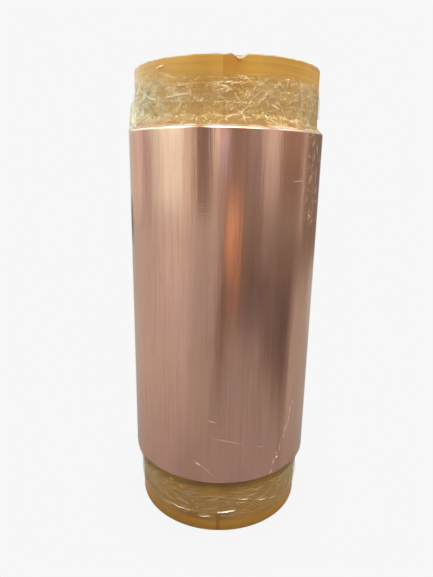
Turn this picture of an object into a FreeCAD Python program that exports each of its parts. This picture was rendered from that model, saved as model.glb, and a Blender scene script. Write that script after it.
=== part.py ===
"""Wide roll of copper foil tape, as wound on its board core and wrapped in clear stretch film.

A thick spiral-glued board tube stands on end. The adhesive copper foil, with its paper
release liner, is wound round the middle of the tube, and both ends of the tube stand proud.
Two layers of stretch film cover the winding and neck in over its shoulders to the tube, and
a twisted band of the same film locks each end.

Frame: the origin is the centre of the tube's lower end, +Z runs up the tube's axis, and the
front of the roll faces -Y. Lengths are in millimetres, angles in degrees about +Z from +X.
"""

import FreeCAD
import Part

import math
import os

# Board core: a 3 inch bore, which fits the usual winding shafts.
CORE_BORE_RADIUS = 76.2 / 2
CORE_WALL = 15.0
CORE_LENGTH = 270.0
LINER_PLY_THICKNESS = 0.6
FACE_PLY_THICKNESS = 0.8
FACE_SEAM_ANGLE = -90.5
FACE_SEAM_GAP = 0.4

# A chip in the rim, where the face ply and the first board plies have torn away.
CHIP_ANGLE = -84.3
CHIP_LEFT_HALF = 3.4
CHIP_RIGHT_HALF = 4.6
CHIP_HEIGHT = 2.7
CHIP_DEPTH = 2.6
CHIP_SPARE = 2.0

# Winding: foil and liner together, with the last turn of each as its own piece.
FOIL_WIDTH = 200.0
FOIL_BOTTOM = 37.0
WINDING_THICKNESS = 3.9
STRIP_THICKNESS = 0.15
TAIL_ANGLE = 118.0
TAIL_GAP = 0.5

# Tapes: one under the first turn, two short strips over the end of the last turn.
TAPE_THICKNESS = 0.1
STARTER_WIDTH = 20.0
STARTER_ANGLE = 40.0
STARTER_END_MARGIN = 3.0
TAIL_TAPE_WIDTH = 19.0
TAIL_TAPE_LENGTH = 50.0
TAIL_TAPE_END_MARGIN = 30.0

# Stretch film: each layer lies just outside the one under it.
FILM_THICKNESS = 0.12
FILM_CLEARANCE = 0.02
FILM_EDGE_LOW = 8.0
FILM_EDGE_HIGH = 262.0
FILM_EDGE_STEP = 3.0
SHOULDER_HEIGHT = 8.0
FILM_TAIL_ANGLE = -35.0
FILM_TAIL_GAP = 1.0
TOP_BAND_LOW = 246.0
TOP_BAND_HIGH = 257.0
BOTTOM_BAND_LOW = 12.0
BOTTOM_BAND_HIGH = 26.0

# Worked out from the sizes above.
CORE_RADIUS = CORE_BORE_RADIUS + CORE_WALL
BODY_INNER_RADIUS = CORE_BORE_RADIUS + LINER_PLY_THICKNESS
BODY_OUTER_RADIUS = CORE_RADIUS - FACE_PLY_THICKNESS
FOIL_TOP = FOIL_BOTTOM + FOIL_WIDTH
WINDING_RADIUS = CORE_RADIUS + WINDING_THICKNESS
LAST_LINER_RADIUS = WINDING_RADIUS - 2 * STRIP_THICKNESS
LAST_FOIL_RADIUS = WINDING_RADIUS - STRIP_THICKNESS
FILM_PITCH = FILM_THICKNESS + FILM_CLEARANCE

Z_AXIS = FreeCAD.Vector(0, 0, 1)
ORIGIN = FreeCAD.Vector(0, 0, 0)


def ring(inner, outer, low, high):
    """A plain tube between two radii and two heights."""
    base = FreeCAD.Vector(0, 0, low)
    height = high - low
    return Part.makeCylinder(outer, height, base).cut(Part.makeCylinder(inner, height, base))


def curved_strip(inner, outer, low, high, middle_angle, sweep):
    """A part of a tube, centred on middle_angle and sweep degrees wide."""
    profile = Part.makePolygon(
        [
            FreeCAD.Vector(inner, 0, low),
            FreeCAD.Vector(outer, 0, low),
            FreeCAD.Vector(outer, 0, high),
            FreeCAD.Vector(inner, 0, high),
            FreeCAD.Vector(inner, 0, low),
        ]
    )
    solid = Part.Face(profile).revolve(ORIGIN, Z_AXIS, sweep)
    solid.rotate(ORIGIN, Z_AXIS, middle_angle - sweep / 2)
    return solid


def degrees_of(length, radius):
    """The angle that a length along a circle of that radius takes."""
    return math.degrees(length / radius)


def open_ring(inner, outer, low, high, gap_angle, gap):
    """A tube slit from end to end at gap_angle."""
    slit = degrees_of(gap, outer)
    return curved_strip(inner, outer, low, high, gap_angle + 180, 360 - slit)


def rim_chip():
    """The wedge that the chip takes out of the upper rim: steep on its left, shallow on its right."""
    inner = CORE_RADIUS - CHIP_DEPTH
    outline = [
        FreeCAD.Vector(inner, -CHIP_LEFT_HALF, CORE_LENGTH + CHIP_SPARE),
        FreeCAD.Vector(inner, -CHIP_LEFT_HALF, CORE_LENGTH),
        FreeCAD.Vector(inner, 0, CORE_LENGTH - CHIP_HEIGHT),
        FreeCAD.Vector(inner, CHIP_RIGHT_HALF, CORE_LENGTH),
        FreeCAD.Vector(inner, CHIP_RIGHT_HALF, CORE_LENGTH + CHIP_SPARE),
    ]
    face = Part.Face(Part.makePolygon(outline + outline[:1]))
    wedge = face.extrude(FreeCAD.Vector(CHIP_DEPTH + CHIP_SPARE, 0, 0))
    wedge.rotate(ORIGIN, Z_AXIS, CHIP_ANGLE)
    return wedge


def core_pieces():
    """The board tube: its smooth liner ply, its board plies and its varnished face ply."""
    chip = rim_chip()
    liner = ring(CORE_BORE_RADIUS, BODY_INNER_RADIUS, 0, CORE_LENGTH)
    body = ring(BODY_INNER_RADIUS, BODY_OUTER_RADIUS, 0, CORE_LENGTH)
    face = open_ring(BODY_OUTER_RADIUS, CORE_RADIUS, 0, CORE_LENGTH, FACE_SEAM_ANGLE, FACE_SEAM_GAP)
    return {
        "core_liner_ply": liner,
        "core_board_plies": body.cut(chip),
        "core_face_ply": face.cut(chip),
    }


def winding_pieces():
    """The wound tape: its inner turns, and the last turn's liner and foil, each with its cut end."""
    starter = curved_strip(
        CORE_RADIUS,
        CORE_RADIUS + TAPE_THICKNESS,
        FOIL_BOTTOM + STARTER_END_MARGIN,
        FOIL_TOP - STARTER_END_MARGIN,
        STARTER_ANGLE,
        degrees_of(STARTER_WIDTH, CORE_RADIUS),
    )
    turns = ring(CORE_RADIUS, LAST_LINER_RADIUS, FOIL_BOTTOM, FOIL_TOP).cut(starter)
    liner = open_ring(
        LAST_LINER_RADIUS, LAST_FOIL_RADIUS, FOIL_BOTTOM, FOIL_TOP, TAIL_ANGLE, TAIL_GAP
    )
    foil = open_ring(LAST_FOIL_RADIUS, WINDING_RADIUS, FOIL_BOTTOM, FOIL_TOP, TAIL_ANGLE, TAIL_GAP)
    return {
        "starter_tape": starter,
        "foil_inner_turns": turns,
        "liner_last_turn": liner,
        "foil_last_turn": foil,
        "tail_tapes": tail_tapes(),
    }


def tail_tapes():
    """Two short strips across the cut end of the last turn, one near each edge of the foil."""
    lows = (
        FOIL_BOTTOM + TAIL_TAPE_END_MARGIN,
        FOIL_TOP - TAIL_TAPE_END_MARGIN - TAIL_TAPE_WIDTH,
    )
    outer = WINDING_RADIUS + TAPE_THICKNESS
    sweep = degrees_of(TAIL_TAPE_LENGTH, outer)
    strips = [
        curved_strip(WINDING_RADIUS, outer, low, low + TAIL_TAPE_WIDTH, TAIL_ANGLE, sweep)
        for low in lows
    ]
    return Part.makeCompound(strips)


def film_line(layer, low, high):
    """The inner line of a film layer, from its lower edge to its upper edge, as (radius, height)."""
    offset = FILM_CLEARANCE + layer * FILM_PITCH
    on_core = CORE_RADIUS + offset
    on_foil = WINDING_RADIUS + TAPE_THICKNESS + offset
    return [
        (on_core, low),
        (on_core, FOIL_BOTTOM - SHOULDER_HEIGHT),
        (on_foil, FOIL_BOTTOM - offset),
        (on_foil, FOIL_TOP + offset),
        (on_core, FOIL_TOP + SHOULDER_HEIGHT),
        (on_core, high),
    ]


def film_layer(layer, low, high, sweep, start_angle):
    """One layer of film, as a thin solid turned about the axis."""
    inner = film_line(layer, low, high)
    outer = [(radius + FILM_THICKNESS, height) for radius, height in reversed(inner)]
    points = [FreeCAD.Vector(radius, 0, height) for radius, height in inner + outer + inner[:1]]
    solid = Part.Face(Part.makePolygon(points)).revolve(ORIGIN, Z_AXIS, sweep)
    solid.rotate(ORIGIN, Z_AXIS, start_angle)
    return solid


def film_pieces():
    """Two full-height layers of stretch film, and the twisted band that locks each end."""
    slit = degrees_of(FILM_TAIL_GAP, WINDING_RADIUS)
    outer_low = FILM_EDGE_LOW + FILM_EDGE_STEP
    outer_high = FILM_EDGE_HIGH - FILM_EDGE_STEP
    band_inner = CORE_RADIUS + FILM_CLEARANCE + 2 * FILM_PITCH
    band_outer = band_inner + 2 * FILM_THICKNESS
    return {
        "film_inner_wrap": film_layer(0, FILM_EDGE_LOW, FILM_EDGE_HIGH, 360, 0),
        "film_outer_wrap": film_layer(
            1, outer_low, outer_high, 360 - slit, FILM_TAIL_ANGLE + slit / 2
        ),
        "film_top_band": ring(band_inner, band_outer, TOP_BAND_LOW, TOP_BAND_HIGH),
        "film_bottom_band": ring(band_inner, band_outer, BOTTOM_BAND_LOW, BOTTOM_BAND_HIGH),
    }


def main():
    """Writes every piece as parts/NODE.step and prints what it is."""
    os.makedirs("parts", exist_ok=True)
    pieces = {**core_pieces(), **winding_pieces(), **film_pieces()}
    for name, shape in pieces.items():
        shape.exportStep(f"parts/{name}.step")
        box = shape.BoundBox
        print(
            f"{name:18s} valid {shape.isValid()}  solids {len(shape.Solids)}"
            f"  volume {shape.Volume:11.1f} mm3  size {box.XLength:.1f} x {box.YLength:.1f} x {box.ZLength:.1f}"
        )


main()
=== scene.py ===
"""Roll of copper foil tape on an amber board core, wrapped in clear stretch film.

Sizes are in millimetres until a mesh is made, and a mesh is in metres. Turn angles are in degrees
round the core: 0 at the front (-Y), 90 on the right (+X), 180 at the back. Heights are above the
lower end of the core.
"""

import logging
import math
from dataclasses import dataclass, field
from enum import Enum
from typing import Any, Callable, Sequence

import bpy
import numpy as np
from mathutils import Matrix, Vector


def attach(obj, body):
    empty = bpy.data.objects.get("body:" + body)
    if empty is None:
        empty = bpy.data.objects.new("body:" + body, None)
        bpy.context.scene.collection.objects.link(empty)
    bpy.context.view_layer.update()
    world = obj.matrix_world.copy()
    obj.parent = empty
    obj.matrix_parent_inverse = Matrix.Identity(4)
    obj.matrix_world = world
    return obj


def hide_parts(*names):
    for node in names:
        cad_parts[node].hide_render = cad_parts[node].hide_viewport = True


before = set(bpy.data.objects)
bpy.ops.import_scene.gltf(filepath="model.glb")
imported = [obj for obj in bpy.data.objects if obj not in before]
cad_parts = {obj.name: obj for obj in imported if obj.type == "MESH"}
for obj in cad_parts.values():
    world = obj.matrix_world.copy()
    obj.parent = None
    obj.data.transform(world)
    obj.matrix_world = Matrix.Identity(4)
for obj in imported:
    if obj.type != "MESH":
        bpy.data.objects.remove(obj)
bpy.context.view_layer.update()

METRES_PER_MM = 0.001
FULL_TURN = 360.0
HALF_TURN = 180.0
LAYER_WAVES = (50.0, 90.0)
BODY = "root"

log = logging.getLogger("foil_roll")
Colour = tuple[float, float, float]


# ---------------------------------------------------------------- shader writing


class Val:
    """A value, colour or shader in a node tree. Arithmetic on it adds Math nodes."""

    def __init__(self, graph: "Graph", socket: bpy.types.NodeSocket) -> None:
        """Holds the socket that gives the value."""
        self.graph = graph
        self.socket = socket

    def math(self, operation: str, *others: "Val | float") -> "Val":
        """Adds a Math node that starts with this value."""
        return self.graph.math(operation, self, *others)

    def __add__(self, other: "Val | float") -> "Val":
        """This plus other."""
        return self.math("ADD", other)

    def __mul__(self, other: "Val | float") -> "Val":
        """This times other."""
        return self.math("MULTIPLY", other)

    def __sub__(self, other: "Val | float") -> "Val":
        """This less other."""
        return self.math("SUBTRACT", other)

    def __rsub__(self, other: float) -> "Val":
        """Other less this."""
        return self.graph.math("SUBTRACT", other, self)

    def __truediv__(self, other: "Val | float") -> "Val":
        """This over other."""
        return self.math("DIVIDE", other)

    def __pow__(self, other: float) -> "Val":
        """This to a power."""
        return self.math("POWER", other)

    def __neg__(self) -> "Val":
        """This with its sign turned."""
        return self.math("MULTIPLY", -1.0)

    __radd__ = __add__
    __rmul__ = __mul__

    def clamped(self) -> "Val":
        """This held between 0 and 1."""
        return self.math("MAXIMUM", 0.0).math("MINIMUM", 1.0)

    def step(self, low: float, high: float) -> "Val":
        """A smooth step, from 0 at low to 1 at high."""
        return self.graph.node(
            "ShaderNodeMapRange",
            {"interpolation_type": "SMOOTHSTEP"},
            {"Value": self, "From Min": low, "From Max": high},
        )

    def between(self, low: float, high: float, edge: float) -> "Val":
        """One between two values and nought outside, with soft edges."""
        return self.step(low - edge, low + edge) - self.step(high - edge, high + edge)


class Graph:
    """The node tree of a material or world."""

    def __init__(self, owner: bpy.types.Material | bpy.types.World) -> None:
        """Takes the owner's tree and empties it."""
        owner.use_nodes = True
        self.tree = owner.node_tree
        self.is_world = isinstance(owner, bpy.types.World)
        self.tree.nodes.clear()

    def node(
        self,
        kind: str,
        settings: dict[str, Any] | None = None,
        inputs: dict[int | str, Any] | None = None,
        output: int | str = 0,
    ) -> Val:
        """Adds a node.

        Args:
            kind: The node's type name.
            settings: Its properties, which are set first.
            inputs: A number, a colour or a Val for each socket.
            output: Which output is wanted.

        Returns:
            That output as a Val.
        """
        made = self.tree.nodes.new(kind)
        for name, value in (settings or {}).items():
            setattr(made, name, value)
        for name, value in (inputs or {}).items():
            if isinstance(value, Val):
                self.tree.links.new(value.socket, made.inputs[name])
            elif isinstance(value, tuple) and made.inputs[name].type == "RGBA":
                made.inputs[name].default_value = (*value, 1.0)
            else:
                made.inputs[name].default_value = value
        return Val(self, made.outputs[output])

    def math(self, operation: str, *values: Val | float) -> Val:
        """Adds a Math node on the values."""
        return self.node("ShaderNodeMath", {"operation": operation}, dict(enumerate(values)))

    def mix(self, factor: Val | float, first: Val | Colour, second: Val | Colour) -> Val:
        """Blends two colours: first at factor 0, second at factor 1."""
        settings = {"data_type": "RGBA", "clamp_factor": True}
        return self.node("ShaderNodeMix", settings, {0: factor, 6: first, 7: second}, 2)

    def place(self) -> tuple[Val, Val, Val, Val]:
        """The point on the object, in metres: as a vector, and as x, y and z."""
        vector = self.node("ShaderNodeTexCoord", output="Object")
        parts = [self.node("ShaderNodeSeparateXYZ", None, {0: vector}, i) for i in range(3)]
        return vector, *parts

    def stretched(self, vector: Val, across: float, up: float) -> Val:
        """The vector scaled by across in x and y and by up in z."""
        return self.node(
            "ShaderNodeVectorMath", {"operation": "MULTIPLY"}, {0: vector, 1: (across, across, up)}
        )

    def noise(self, vector: Val, scale: float, detail: float = 4.0, rough: float = 0.55) -> Val:
        """Cloudy noise from 0 to 1, about 0.5."""
        inputs = {"Vector": vector, "Scale": scale, "Detail": detail, "Roughness": rough}
        return self.node("ShaderNodeTexNoise", None, inputs)

    def attribute(self, name: str) -> Val:
        """A value that the mesh holds at each point."""
        return self.node("ShaderNodeAttribute", {"attribute_name": name}, output="Fac")

    def bump(self, height: Val, strength: float, distance: float) -> Val:
        """A normal bent by a height."""
        inputs = {"Height": height, "Strength": strength, "Distance": distance}
        return self.node("ShaderNodeBump", None, inputs)

    def finish(self, inputs: dict[str, Any]) -> None:
        """Ends a material with a Principled shader that has these inputs."""
        self.surface(self.node("ShaderNodeBsdfPrincipled", None, inputs))

    def surface(self, shader: Val) -> None:
        """Sends a shader to the material's or world's output."""
        kind = "ShaderNodeOutputWorld" if self.is_world else "ShaderNodeOutputMaterial"
        self.tree.links.new(shader.socket, self.tree.nodes.new(kind).inputs["Surface"])


def new_material(name: str) -> tuple[bpy.types.Material, Graph]:
    """An empty material of that name and its graph."""
    material = bpy.data.materials.new(name)
    return material, Graph(material)


# ---------------------------------------------------------------- finishes


@dataclass(frozen=True)
class AmberVarnish:
    """Varnished kraft face ply of the core: honey amber, with streaks round the tube."""

    light: Colour = (0.580, 0.318, 0.052)
    deep: Colour = (0.440, 0.205, 0.020)
    # Colour of the painted shade on the right of the seam.
    seam_shade_colour: Colour = (0.42, 0.170, 0.012)
    worn: Colour = (0.50, 0.36, 0.19)
    # Dark brown for the split seam at the foot, and for painted shade and shadow.
    dark_joint_and_shade: Colour = (0.24, 0.090, 0.010)
    russet: Colour = (0.52, 0.235, 0.048)
    seam_turn: float = -2.2
    seam_lean: float = 3.5
    length: float = 270.0

    def material(self) -> bpy.types.Material:
        """Makes the varnish."""
        material, graph = new_material("amber_varnish")
        point, x, y, z = graph.place()
        turn = graph.math("ARCTAN2", x, -y) * math.degrees(1)
        streaks = graph.noise(graph.stretched(point, 9.0, 900.0), 1.0, 3.0)
        broad = graph.noise(graph.stretched(point, 14.0, 160.0), 1.0, 3.0)
        cloud = graph.noise(point, 38.0, 3.0)
        shade = (streaks * 0.45 + broad * 0.4 + cloud * 0.35 - 0.6) * 4.5 + 0.5
        colour = graph.mix(shade.clamped(), self.deep, self.light)
        top = self.length * METRES_PER_MM
        # Painted shade and light beside the seam: darker on its right, more strongly up the tube and most at
        # the rim, and lighter on its left.
        past_seam = turn - self.seam_turn - self.seam_lean * (1 - z / top)
        painted_seam_shade = past_seam.step(-0.15, 0.15) * (1 - past_seam.step(6.0, 14.0))
        seam_shade_strength = 0.32 + 0.13 * z.step(0.05, 0.25) + 0.30 * z.step(0.260, 0.265)
        colour = graph.mix(painted_seam_shade * seam_shade_strength, colour, self.seam_shade_colour)
        painted_seam_light = past_seam.step(-16.0, -1.0) * (1 - past_seam.step(-0.3, 0.1))
        colour = graph.mix(painted_seam_light * 0.35, colour, self.light)
        colour = graph.mix((1 - z.step(0.004, 0.034)) * (0.25 + cloud * 0.5), colour, self.russet)
        # Painted shade: a darker band low on the front of the foot, just below the film's brightest fold.
        painted_foot_shade = turn.between(-28.0, 8.0, 8.0) * z.between(0.007, 0.0125, 0.002)
        colour = graph.mix(painted_foot_shade * 0.38, colour, self.dark_joint_and_shade)
        ragged = graph.noise(point, 420.0, 4.0)
        split = (past_seam + ragged * 1.6).between(-1.4, 0.6, 0.5) * (1 - z.step(0.010, 0.017))
        colour = graph.mix(split * 0.6, colour, self.dark_joint_and_shade)
        foot = 1 - (z - ragged * 0.0016).step(-0.0008, 0.0006)
        rim = graph.attribute("worn") * (0.4 + ragged)
        colour = graph.mix((rim + foot * 0.5).clamped(), colour, self.worn)
        # Dark along the chip's left flank: the torn ply edge, with painted shadow under it.
        colour = graph.mix(graph.attribute("torn_edge_and_shadow"), colour, self.dark_joint_and_shade)
        scuffs = graph.noise(graph.stretched(point, 60.0, 500.0), 1.0, 4.0, 0.7)
        graph.finish({
            "Base Color": colour,
            "Roughness": 0.34 + scuffs * 0.22,
            "Coat Weight": 0.25,
            "Coat Roughness": 0.12,
            "Normal": graph.bump(streaks * 0.6 + cloud * 0.4, 0.25, 0.0004),
        })
        return material


@dataclass(frozen=True)
class CoreBoard:
    """Grey-brown board plies, seen as rings on the ends and as torn cream fibre in the chip."""

    board: Colour = (0.185, 0.128, 0.078)
    pale: Colour = (0.250, 0.180, 0.108)
    glue: Colour = (0.085, 0.050, 0.028)
    torn: Colour = (0.62, 0.48, 0.29)
    ply: float = 0.75

    def material(self) -> bpy.types.Material:
        """Makes the board."""
        material, graph = new_material("core_board")
        point, x, y, z = graph.place()
        radius = (x * x + y * y).math("SQRT") / METRES_PER_MM
        wander = (graph.noise(point, 60.0, 2.0) - 0.5) * 0.25
        phase = ((radius + wander) / self.ply).math("FRACT")
        line = 1 - phase.step(0.0, 0.22) * (1 - phase.step(0.8, 1.0))
        fibres = graph.noise(graph.stretched(point, 900.0, 300.0), 1.0, 5.0, 0.7)
        colour = graph.mix((fibres * 1.6 - 0.3).clamped(), self.board, self.pale)
        colour = graph.mix(line * 0.55, colour, self.glue)
        torn = graph.attribute("torn")
        colour = graph.mix(torn * (0.75 + fibres * 0.3), colour, self.torn)
        graph.finish({
            "Base Color": colour,
            "Roughness": 0.82 + fibres * 0.12,
            "Normal": graph.bump(fibres * 0.7 - line * 0.6, 0.7, 0.0005),
        })
        return material


@dataclass(frozen=True)
class KraftLiner:
    """Plain kraft ply of the bore, with the line of its spiral joint."""

    kraft: Colour = (0.46, 0.295, 0.155)
    dark: Colour = (0.27, 0.160, 0.075)
    pitch: float = 118.0

    def material(self) -> bpy.types.Material:
        """Makes the kraft paper."""
        material, graph = new_material("kraft_liner")
        point, x, y, z = graph.place()
        turn = graph.math("ARCTAN2", x, y) / math.tau
        climb = (turn + z / (self.pitch * METRES_PER_MM)).math("FRACT")
        joint = climb.between(0.492, 0.5, 0.002)
        lap = climb.step(0.5, 0.501) * (1 - climb.step(0.52, 0.56))
        fibres = graph.noise(graph.stretched(point, 160.0, 420.0), 1.0, 5.0, 0.65)
        cloud = graph.noise(point, 22.0, 3.0)
        shade = (fibres * 0.8 + cloud * 0.6 - 0.2).clamped()
        colour = graph.mix(shade, self.dark, self.kraft)
        colour = graph.mix(joint * 0.7 + lap * 0.25, colour, self.dark)
        graph.finish({
            "Base Color": colour,
            "Roughness": 0.66 + fibres * 0.2,
            "Normal": graph.bump(fibres * 0.5 - joint + lap * 0.4, 0.5, 0.0004),
        })
        return material


@dataclass(frozen=True)
class CopperFoil:
    """Bright rolled copper: fine rolling lines round the roll, soft smudges, a little tarnish."""

    copper: Colour = (0.930, 0.590, 0.455)
    rosy: Colour = (0.900, 0.560, 0.470)
    tarnish: Colour = (0.760, 0.430, 0.310)

    def material(self) -> bpy.types.Material:
        """Makes the copper."""
        material, graph = new_material("copper_foil")
        point, x, y, z = graph.place()
        lines = graph.noise(graph.stretched(point, 3.0, 1400.0), 1.0, 3.0)
        cloud = graph.noise(graph.stretched(point, 26.0, 14.0), 1.0, 3.0)
        smudge = graph.noise(graph.stretched(point, 70.0, 30.0), 1.0, 4.0, 0.6)
        streaks = graph.noise(graph.stretched(point, 520.0, 20.0), 1.0, 4.0, 0.65)
        colour = graph.mix(cloud.step(0.35, 0.65), self.copper, self.rosy)
        dull = smudge.step(0.55, 0.8) * 0.30 + lines * 0.08 + streaks.step(0.42, 0.72) * 0.40
        colour = graph.mix(dull.clamped(), colour, self.tarnish)
        graph.finish({
            "Base Color": colour,
            "Metallic": 1.0,
            "Roughness": 0.09 + smudge.step(0.45, 0.8) * 0.07 + lines * 0.05,
            "Normal": graph.bump(lines * 0.2 + smudge * 0.2 + streaks, 0.30, 0.0003),
        })
        return material


@dataclass(frozen=True)
class FoilEdges:
    """The cut edges of the inner turns: thin copper lines between pale release paper."""

    copper: Colour = (0.86, 0.50, 0.34)
    paper: Colour = (0.78, 0.74, 0.66)
    turn_pitch: float = 0.15
    first_radius: float = 53.1

    def material(self) -> bpy.types.Material:
        """Makes the striped edge."""
        material, graph = new_material("foil_edges")
        point, x, y, z = graph.place()
        radius = (x * x + y * y).math("SQRT") / METRES_PER_MM
        phase = ((radius - self.first_radius) / (2 * self.turn_pitch)).math("FRACT")
        metal = phase.between(0.0, 0.5, 0.06)
        rub = graph.noise(graph.stretched(point, 140.0, 140.0), 1.0, 4.0)
        colour = graph.mix(metal * (0.6 + rub * 0.5), self.paper, self.copper)
        graph.finish({
            "Base Color": colour,
            "Metallic": metal,
            "Roughness": 0.58 - metal * 0.22 + rub * 0.15,
            "Normal": graph.bump(metal + rub * 0.5, 0.4, 0.0002),
        })
        return material


@dataclass(frozen=True)
class ThinPaper:
    """A smooth paper or tape, with faint cloud and fibre."""

    name: str
    colour: Colour
    shade: Colour
    rough: float
    clear: float = 1.0

    def material(self) -> bpy.types.Material:
        """Makes the paper or tape."""
        material, graph = new_material(self.name)
        point, _, _, _ = graph.place()
        fibres = graph.noise(graph.stretched(point, 260.0, 520.0), 1.0, 4.0, 0.6)
        cloud = graph.noise(point, 70.0, 3.0)
        graph.finish({
            "Base Color": graph.mix((cloud * 0.7 + fibres * 0.4).clamped(), self.shade, self.colour),
            "Roughness": self.rough + fibres * 0.12,
            "Alpha": self.clear * (0.9 + cloud * 0.2) if self.clear < 1 else 1.0,
            "Normal": graph.bump(fibres, 0.2, 0.0002),
        })
        return material


@dataclass(frozen=True)
class StretchFilm:
    """Clear cling film: a thin gloss over what lies below, milky and bright where it is creased, with painted
    highlights and sheen in its milk.
    """

    cloudy: Colour = (0.74, 0.66, 0.42)
    milk: Colour = (0.76, 0.61, 0.34)
    bright: Colour = (0.97, 0.765, 0.40)
    rosy: Colour = (1.0, 0.86, 0.77)
    white: Colour = (1.0, 0.96, 0.86)
    olive: Colour = (0.68, 0.65, 0.41)
    gloss: float = 0.030
    glance: float = 0.30
    flat_haze: float = 0.012
    slack_haze: float = 0.05
    rough: float = 0.16
    facet: float = 230.0
    facet_depth: float = 0.0004

    def material(self) -> bpy.types.Material:
        """Makes the film.

        The mesh's "haze" says how milky each point is, and over one how it shines as well; its milk
        also holds painted highlights, on the shoulder lines and the brightest folds, and a painted
        sheen on the sides. Its "loose" says where the film is crinkled, and its third mark where that
        painted sheen turns the milk grey and olive.
        """
        material, graph = new_material("stretch_film")
        point, _, _, _ = graph.place()
        haze, loose, side_sheen = (graph.attribute(mark) for mark in ("haze", "loose", "side_sheen"))
        cloud = graph.noise(graph.stretched(point, 90.0, 70.0), 1.0, 4.0, 0.6)
        crinkle = graph.noise(graph.stretched(point, 380.0, 480.0), 1.0, 3.0, 0.6)
        settings = {"feature": "DISTANCE_TO_EDGE"}
        folds = graph.node("ShaderNodeTexVoronoi", settings, {"Vector": point, "Scale": self.facet})
        slack = loose * (cloud.step(0.35, 0.7) * self.slack_haze + (1 - folds.step(0.0, 0.08)) * 0.04)
        milk = self.flat_haze * (0.5 + cloud) + haze * (0.75 + crinkle * 0.5) + slack
        facing = graph.node("ShaderNodeLayerWeight", None, {"Blend": 0.3}, "Facing")
        gloss = (self.gloss + facing**3.0 * self.glance) * (1 - haze.step(0.10, 0.35))
        over_foil = graph.mix(haze.step(0.05, 0.30), self.cloudy, self.rosy)
        over_board = graph.mix(haze.step(0.02, 0.40), self.milk, self.bright)
        # On the core, the painted side sheen turns the milk grey-olive.
        colour = graph.mix(loose.clamped(), over_foil, graph.mix(side_sheen.clamped(), over_board, self.olive))
        shine = (haze - 1).clamped() * 0.5
        graph.finish({
            # The milkiest folds go white: crease whitening, and on the brightest a painted highlight.
            "Base Color": graph.mix(haze.step(0.55, 1.0), colour, self.white),
            "Metallic": gloss / (gloss + milk) + shine,
            "Roughness": self.rough + crinkle * 0.14,
            "Alpha": (gloss + milk).clamped(),
            "Normal": graph.bump(folds * loose + crinkle * 0.10 + cloud * 0.12, 1.0, self.facet_depth),
        })
        return material


# ---------------------------------------------------------------- mesh making


class Ends(Enum):
    """How a swept grid of points is joined to itself."""

    SHEET = "sheet"
    LOOP = "loop"
    SOLID_LOOP = "solid loop"
    SOLID_STRIP = "solid strip"


@dataclass
class Swept:
    """A grid of points to be joined into faces.

    The first axis goes across or up, and the last goes round or along, so that faces look outwards.
    An axis between them counts separate strips. Points are in millimetres, and marks give a value
    at each point for each name, which materials may read.
    """

    points: np.ndarray
    ends: Ends = Ends.SHEET
    marks: dict[str, np.ndarray] = field(default_factory=dict)

    def faces(self, first: int) -> list[list[int]]:
        """The faces' corners, where first is the number of the first point."""
        shape = self.points.shape[:-1]
        index = first + np.arange(math.prod(shape)).reshape(shape)
        if self.ends in (Ends.LOOP, Ends.SOLID_LOOP):
            index = np.concatenate([index, index[:, :1]], axis=1)
        if self.ends in (Ends.SOLID_LOOP, Ends.SOLID_STRIP):
            index = np.concatenate([index, index[:1]], axis=0)
        corners = [index[:-1, ..., :-1], index[:-1, ..., 1:], index[1:, ..., 1:], index[1:, ..., :-1]]
        faces = np.stack(corners, axis=-1).reshape(-1, 4).tolist()
        if self.ends is Ends.SOLID_STRIP:
            faces += [index[:-1, 0].tolist(), index[:-1, -1][::-1].tolist()]
        return faces


def make_mesh(name: str, *grids: Swept) -> bpy.types.Object:
    """Makes one mesh, in metres, from one or more grids that have the same marks."""
    faces, first = [], 0
    for grid in grids:
        faces += grid.faces(first)
        first += grid.points.size // 3
    points = np.concatenate([grid.points.reshape(-1, 3) for grid in grids])
    mesh = bpy.data.meshes.new(name)
    mesh.from_pydata((points * METRES_PER_MM).tolist(), [], faces)
    for mark in grids[0].marks:
        values = np.concatenate([np.ravel(grid.marks[mark]) for grid in grids])
        layer = mesh.attributes.new(mark, "FLOAT", "POINT")
        layer.data.foreach_set("value", values.astype(np.float32))
    mesh.validate()
    mesh.shade_smooth()
    mesh.set_sharp_from_angle(angle=math.radians(50))
    piece = bpy.data.objects.new(name, mesh)
    bpy.context.scene.collection.objects.link(piece)
    return piece


def on_cylinder(radius: np.ndarray, turn: np.ndarray, height: np.ndarray) -> np.ndarray:
    """Points from their radius, turn angle in degrees and height, broadcast together."""
    radius, turn, height = np.broadcast_arrays(radius, np.radians(turn), height)
    return np.stack([radius * np.sin(turn), -radius * np.cos(turn), height], axis=-1)


def turned_from(turn: np.ndarray, middle: float) -> np.ndarray:
    """The angle from middle to each turn angle, the short way round."""
    return (turn - middle + HALF_TURN) % FULL_TURN - HALF_TURN


def eased(value: np.ndarray) -> np.ndarray:
    """A smooth step from 0 to 1 over the values 0 to 1."""
    held = np.clip(value, 0.0, 1.0)
    return held * held * (3.0 - 2.0 * held)


def hump(turn: np.ndarray, middle: float, half: float) -> np.ndarray:
    """A smooth hump of height 1 round a turn angle, which is nought beyond half."""
    return 1.0 - eased(np.abs(turned_from(turn, middle)) / half)


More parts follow.
